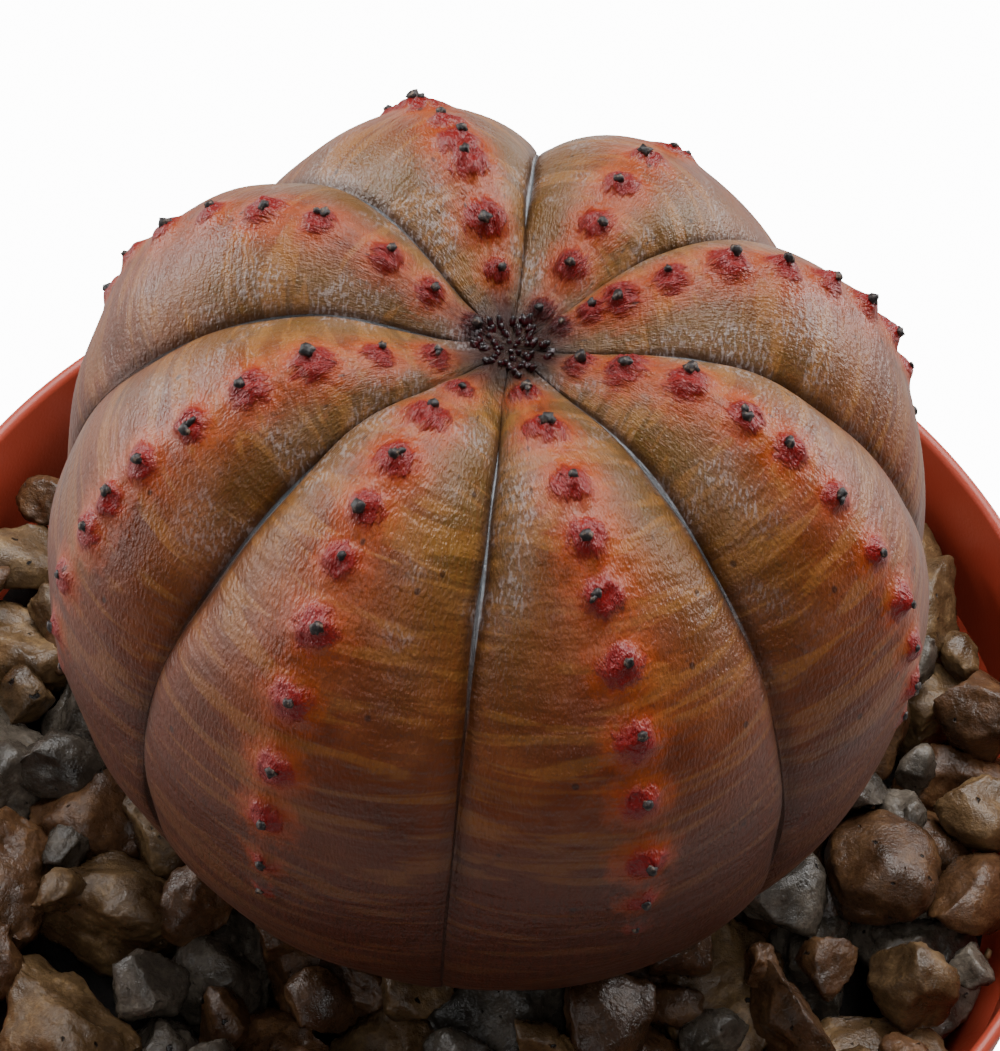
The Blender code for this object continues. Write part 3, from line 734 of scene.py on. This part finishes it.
# ---------------------------------------------------------------- grit
# Grains of washed sand, 0.3 to 0.7 mm, caught between the stones and in the folds low on the plant.
grit_material, tree = new_material("washed_sand")
grit_place = add(tree, "TexCoord").outputs["Object"]
grit_noise = add(tree, "TexNoise", {"Vector": grit_place, "Scale": 700.0, "Detail": 1.0})
grit_colours = (0.35, "#5b4630"), (0.5, "#a98c62"), (0.65, "#d8d2c4")
grit_colour = add(tree, "ValToRGB", {0: grit_noise}, stops=grit_colours)
shader = add(tree, "BsdfPrincipled", {"Base Color": grit_colour, "Roughness": 0.45})
tree.links.new(shader.outputs[0], tree.nodes["Material Output"].inputs["Surface"])
grains = []
for number in range(90):
    swing, out = dice.uniform(0, 2 * math.pi), dice.uniform(14.0, 30.2)
    spot = np.array([out * math.cos(swing), out * math.sin(swing)])
    size = dice.uniform(0.12, 0.28)
    level = mix_top
    for other, other_size in settled:
        gap = np.hypot(*(spot - other[:2]))
        if gap < other_size:
            level = max(level, other[2] + math.sqrt(other_size**2 - gap**2) * 0.92)
    if level < mix_top + 3.2 and out - size > body_side(level) + 0.2 and out + size < pot_inside(level):
        way = (dice.uniform(-1, 1), dice.uniform(-1, 1), dice.uniform(-1, 1))
        grains.append(crumb((spot[0], spot[1], level), way, size * 1.2, size, 300 + number, 1))
sand_grains = named_piece("sand_grains", *gather(grains), grit_material)
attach(sand_grains, "root")


# ---------------------------------------------------------------- potting mix
# Peat and fine bark, dark and damp, filling the pot to under the gravel. Its top is crumbly.
damp_peat, tree = new_material("damp_peat")
peat_place = add(tree, "TexCoord").outputs["Object"]
fibres = add(tree, "TexNoise", {"Vector": peat_place, "Scale": 900.0, "Detail": 6.0, "Roughness": 0.75})
peat_colours = (0.35, "#060403"), (0.55, "#150d08"), (0.75, "#33221a")
peat_colour = add(tree, "ValToRGB", {0: fibres}, stops=peat_colours)
peat_bump = add(tree, "Bump", {"Strength": 1.0, "Distance": 0.0006, "Height": fibres})
shader = add(tree, "BsdfPrincipled", {"Base Color": peat_colour, "Roughness": 0.85, "Normal": peat_bump})
tree.links.new(shader.outputs[0], tree.nodes["Material Output"].inputs["Surface"])

MIX_SLOPE = math.tan(math.radians(2.6))
MIX_FALL = math.radians(25.0)
MIX_GAP = 0.35
mix_rings = [(out, None) for out in np.linspace(11.0, 29.4, 30)]
peat_points, peat_faces = [], []
PEAT_STEPS = 120


def mix_level(x, y):
    """Height of the top of the mix, which falls gently to one side."""
    middle = (mix_high.z / MM) - MIX_SLOPE * 29.5
    return middle - MIX_SLOPE * (x * math.cos(MIX_FALL) + y * math.sin(MIX_FALL)) * 0.98


foot = mix_low.z / MM
side_rings = [(0.4, foot), (12.0, foot), (pot_inside(foot) - MIX_GAP, foot)]
side_rings += [(pot_inside(level) - MIX_GAP, level) for level in np.linspace(foot + 2, 45.0, 10)]
inner_rings = [(4.9, 46.2), (4.9, 40.0), (3.2, 30.0), (1.8, 21.0), (0.4, 20.4)]
for out, level in side_rings + mix_rings[::-1] + inner_rings:
    for step_number in range(PEAT_STEPS):
        swing = 2 * math.pi * step_number / PEAT_STEPS
        x, y = out * math.cos(swing), out * math.sin(swing)
        z = level
        if z is None:
            crumbs = noise.fractal(Vector((x, y, 7.0)) * 0.9, 0.8, 2.0, 4)
            z = min(mix_level(x, y) - 0.3 + 0.55 * crumbs, mix_level(x, y) + 0.1)
        peat_points.append((x, y, z))
ring_total = len(peat_points) // PEAT_STEPS
for ring in range(ring_total - 1):
    for step_number in range(PEAT_STEPS):
        beside = (step_number + 1) % PEAT_STEPS
        here, above = ring * PEAT_STEPS, (ring + 1) * PEAT_STEPS
        peat_faces.append((here + step_number, here + beside, above + beside, above + step_number))
peat_faces.append(tuple(reversed(range(PEAT_STEPS))))
peat_faces.append(tuple((ring_total - 1) * PEAT_STEPS + i for i in range(PEAT_STEPS)))
peat = named_piece("peat_mix", peat_points, peat_faces, damp_peat)
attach(peat, "root")
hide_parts("potting_mix")


# ---------------------------------------------------------------- pot
# A thin nursery pot, injection-moulded in terracotta-coloured polypropylene: a tapered cup with a deep collar
# at the rim, a stepped foot, six drain holes round a middle one, and four notches that let water out.
POT_HEIGHT = 56.0
RIM_RADIUS = 32.5
COLLAR_HEIGHT = 9.0
COLLAR_TAPER = 0.5
FOOT_WIDTH = 1.4
FLOOR_LIFT = 2.4
MIDDLE_HOLE = 2.4
DRAIN_HOLES = 6
DRAIN_RADIUS = 2.3
DRAINS_OUT = 12.5
NOTCHES = 4
NOTCHES_OUT = 22.3
NOTCH_SIZE = (6.0, 5.0, 2.4)
POT_STEPS = 192

terracotta_plastic, tree = new_material("terracotta_polypropylene")
pot_place = add(tree, "TexCoord").outputs["Object"]
moulding = add(tree, "TexNoise", {"Vector": pot_place, "Scale": 5000.0, "Detail": 2.0})
clouding = add(tree, "TexNoise", {"Vector": pot_place, "Scale": 90.0, "Detail": 4.0})
plastic = add(tree, "ValToRGB", {0: clouding}, stops=((0.3, "#a93f2c"), (0.7, "#b64a36")))
dust_share = add(tree, "MapRange", {0: clouding, 1: 0.5, 2: 0.75, 3: 0.0, 4: 0.06})
dusted = add(tree, "MixRGB", {0: dust_share, 1: plastic, 2: paint("#b09a86")})
mould_bump = add(tree, "Bump", {"Strength": 0.35, "Distance": 0.00004, "Height": moulding})
moulded = {"Base Color": dusted, "Roughness": 0.38, "Normal": mould_bump, "IOR": 1.49}
shader = add(tree, "BsdfPrincipled", moulded)
tree.links.new(shader.outputs[0], tree.nodes["Material Output"].inputs["Surface"])

collar_foot = POT_HEIGHT - COLLAR_HEIGHT
lip_radius = POT_WALL / 2
lip = [
    (
        RIM_RADIUS - lip_radius + lip_radius * math.cos(turn),
        POT_HEIGHT - lip_radius + lip_radius * math.sin(turn),
    )
    for turn in np.linspace(0, math.pi, 9)
]
pot_profile = [
    (POT_WALL_FOOT - FOOT_WIDTH, 0.0),
    (POT_WALL_FOOT - 0.25, 0.0),
    (POT_WALL_FOOT, 0.25),
    (POT_WALL_TOP - 0.02, POT_WALL_RISE - 0.1),
    (RIM_RADIUS - COLLAR_TAPER - 0.15, collar_foot),
    (RIM_RADIUS - COLLAR_TAPER, collar_foot + 0.15),
    *lip,
    (RIM_RADIUS - COLLAR_TAPER - POT_WALL, collar_foot + 0.3),
    (POT_WALL_TOP - POT_WALL, POT_WALL_RISE),
    (POT_WALL_FOOT - POT_WALL + 0.75, FLOOR_LIFT + 1.6),
    (POT_WALL_FOOT - POT_WALL - 0.3, FLOOR_LIFT + POT_WALL),
    (MIDDLE_HOLE, FLOOR_LIFT + POT_WALL),
    (MIDDLE_HOLE, FLOOR_LIFT),
    (POT_WALL_FOOT - FOOT_WIDTH, FLOOR_LIFT),
]
pot_points, pot_faces = [], []
for out, level in pot_profile:
    for step_number in range(POT_STEPS):
        swing = 2 * math.pi * step_number / POT_STEPS
        pot_points.append((out * math.cos(swing), out * math.sin(swing), level))
for ring in range(len(pot_profile)):
    here, above = ring * POT_STEPS, (ring + 1) % len(pot_profile) * POT_STEPS
    for step_number in range(POT_STEPS):
        beside = (step_number + 1) % POT_STEPS
        pot_faces.append((here + step_number, here + beside, above + beside, above + step_number))
pot = named_piece("nursery_pot", pot_points, pot_faces, terracotta_plastic)
for number in range(DRAIN_HOLES + NOTCHES):
    cutter_shape = bmesh.new()
    if number < DRAIN_HOLES:
        swing = math.radians(360 / DRAIN_HOLES * (number + 0.5))
        place_at = Matrix.Translation(Vector((math.cos(swing), math.sin(swing), 0)) * DRAINS_OUT * MM)
        place_at = place_at @ Matrix.Rotation(math.radians(3), 4, "Z")
        hole = DRAIN_RADIUS * MM
        bmesh.ops.create_cone(
            cutter_shape, cap_ends=True, segments=32, radius1=hole, radius2=hole, depth=12 * MM
        )
    else:
        swing = math.radians(360 / NOTCHES * (number - DRAIN_HOLES + 0.5))
        place_at = Matrix.Rotation(swing, 4, "Z") @ Matrix.Translation((NOTCHES_OUT * MM, 0, 0))
        bmesh.ops.create_cube(cutter_shape, size=1.0)
        bmesh.ops.scale(cutter_shape, vec=Vector(NOTCH_SIZE) * MM, verts=cutter_shape.verts)
    cutter_mesh = bpy.data.meshes.new("cutter")
    cutter_shape.to_mesh(cutter_mesh)
    cutter_shape.free()
    cutter = bpy.data.objects.new("cutter", cutter_mesh)
    cutter.matrix_world = place_at
    bpy.context.scene.collection.objects.link(cutter)
    cut = pot.modifiers.new("cut", "BOOLEAN")
    cut.operation, cut.object, cut.solver = "DIFFERENCE", cutter, "EXACT"
    bpy.context.view_layer.update()
    shaped = bpy.data.meshes.new_from_object(pot.evaluated_get(bpy.context.evaluated_depsgraph_get()))
    pot.modifiers.clear()
    pot.data = shaped
    bpy.data.objects.remove(cutter)
pot.data.set_sharp_from_angle(angle=math.radians(32))
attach(pot, "root")
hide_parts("pot")


# ---------------------------------------------------------------- floor and light
# A sheet of white paper under the pot, much brighter than the plant. One broad soft panel above and a little
# behind it gives most of the light, low cards behind and at the left lift the edges, and a narrow strip in
# front gives the wax its glints.
PAPER_WHITE = 13.0
FLOOR_HALF = 1500

white_paper, tree = new_material("white_paper")
paper = add(tree, "BsdfDiffuse", {"Color": paint("#a8a8a6")})
glow = add(tree, "Emission", {"Color": paint("#ffffff")})
seen = add(tree, "LightPath").outputs["Is Camera Ray"]
glow_strength = add(tree, "Math", {0: seen, 1: PAPER_WHITE}, operation="MULTIPLY")
tree.links.new(glow_strength.outputs[0], glow.inputs["Strength"])
both = add(tree, "AddShader", {0: paper, 1: glow})
tree.links.new(both.outputs[0], tree.nodes["Material Output"].inputs["Surface"])
floor_corners = [(x * FLOOR_HALF, y * FLOOR_HALF, 0) for x, y in ((-1, -1), (1, -1), (1, 1), (-1, 1))]
floor = named_piece("floor", floor_corners, [(0, 1, 2, 3)], white_paper)


def soft_light(name, place, aim_at, width, height, watts):
    """A flat soft light, in metres and watts, facing a point."""
    data = bpy.data.lights.new(name, "AREA")
    data.shape, data.size, data.size_y, data.energy = "RECTANGLE", width, height, watts
    light = bpy.data.objects.new(name, data)
    light.location = place
    light.rotation_euler = (Vector(aim_at) - Vector(place)).to_track_quat("-Z", "Y").to_euler()
    bpy.context.scene.collection.objects.link(light)


PLANT_MIDDLE = (0, 0, 0.07)
soft_light("sky_panel", (0.04, 0.25, 0.55), PLANT_MIDDLE, 0.5, 0.45, 5.2)
soft_light("left_card", (-0.46, 0.26, 0.15), PLANT_MIDDLE, 0.3, 0.25, 1.8)
soft_light("left_wall", (-0.5, -0.04, 0.14), PLANT_MIDDLE, 0.3, 0.3, 0.8)
soft_light("right_card", (0.44, 0.34, 0.15), PLANT_MIDDLE, 0.3, 0.25, 2.0)
soft_light("window_strip", (0.02, -0.22, 0.42), PLANT_MIDDLE, 0.06, 0.40, 0.35)

world = bpy.data.worlds.new("studio")
world.use_nodes = True
world.node_tree.nodes.clear()
world_output = add(world.node_tree, "OutputWorld")
straight = add(world.node_tree, "LightPath").outputs["Is Camera Ray"]
backdrop = add(world.node_tree, "Math", {0: straight, 1: PAPER_WHITE, 2: 0.07}, operation="MULTIPLY_ADD")
background = add(world.node_tree, "Background", {"Color": paint("#ffffff"), "Strength": backdrop})
world.node_tree.links.new(background.outputs[0], world_output.inputs["Surface"])
bpy.context.scene.world = world
